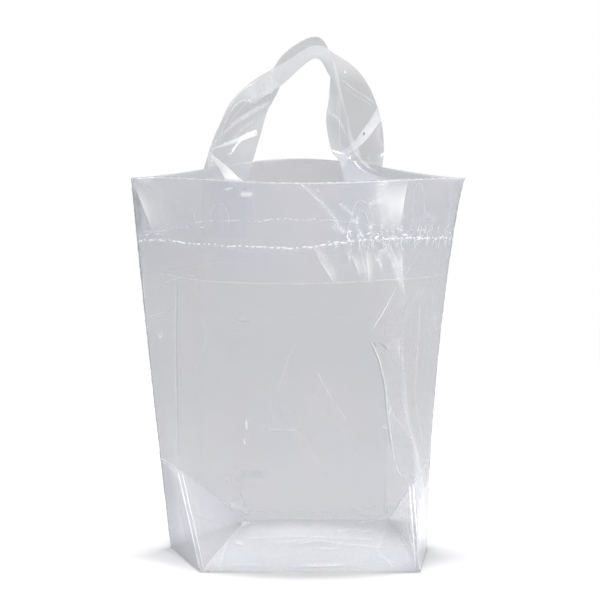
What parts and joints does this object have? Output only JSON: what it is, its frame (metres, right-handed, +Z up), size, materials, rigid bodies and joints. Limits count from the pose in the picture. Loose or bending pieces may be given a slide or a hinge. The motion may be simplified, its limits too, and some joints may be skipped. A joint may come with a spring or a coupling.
{
  "type": "plastic carrier bag",
  "caption": "Clear film carrier bag standing open on its gusseted bottom, with a turned-in welded top hem, side welds and soft film strap loop handles",
  "frame": {"origin": "middle of the base on the floor, which is the bottom centre of the bounding box", "axes": "+Z up to the handles, front panel faces -Y, +X to the right as seen from the front"},
  "size_m": [0.2522, 0.146, 0.399],
  "materials": {
    "body_film": "clear low density polythene film, glossy, with soft creases",
    "strap_film": "clear polythene strap film, glossy, a little cloudier than the body"
  },
  "bodies": {
    "root": {"film_bag": "body_film", "front_loop_handle": "strap_film", "back_loop_handle": "strap_film"}
  },
  "joints": []
}
